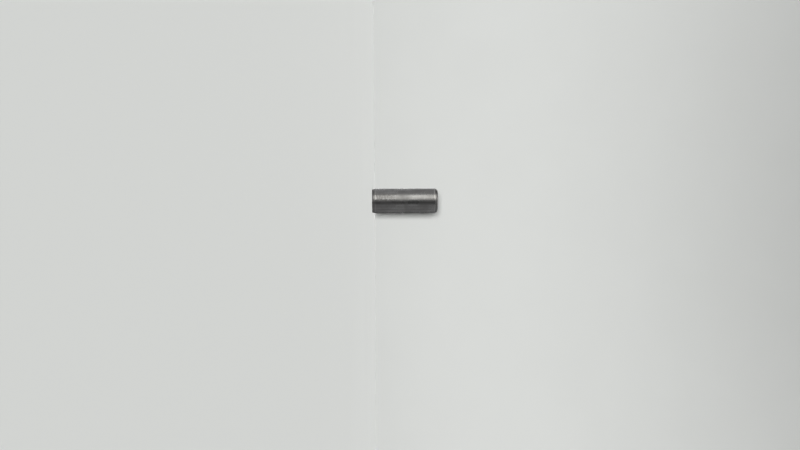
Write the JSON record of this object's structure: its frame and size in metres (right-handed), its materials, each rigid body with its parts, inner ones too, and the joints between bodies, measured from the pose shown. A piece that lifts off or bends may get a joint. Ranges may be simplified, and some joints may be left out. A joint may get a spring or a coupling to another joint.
{
  "type": "dowel pin",
  "caption": "Parallel steel dowel pin, solid and ground, with flat ends and short tapered leads that start it in a reamed hole.",
  "frame": {"origin": "centre of the foot, the flat end that the pin stands on", "axes": "+Z along the pin's axis, from the foot with the crisp edge to the head with the rounder edge"},
  "size_m": [0.006, 0.006, 0.016],
  "materials": {
    "dark_steel": "dark grey ground steel, semi-gloss, with fine grinding marks round it and a dull burnish"
  },
  "bodies": {
    "root": {"dowel_pin": "dark_steel"}
  },
  "joints": []
}
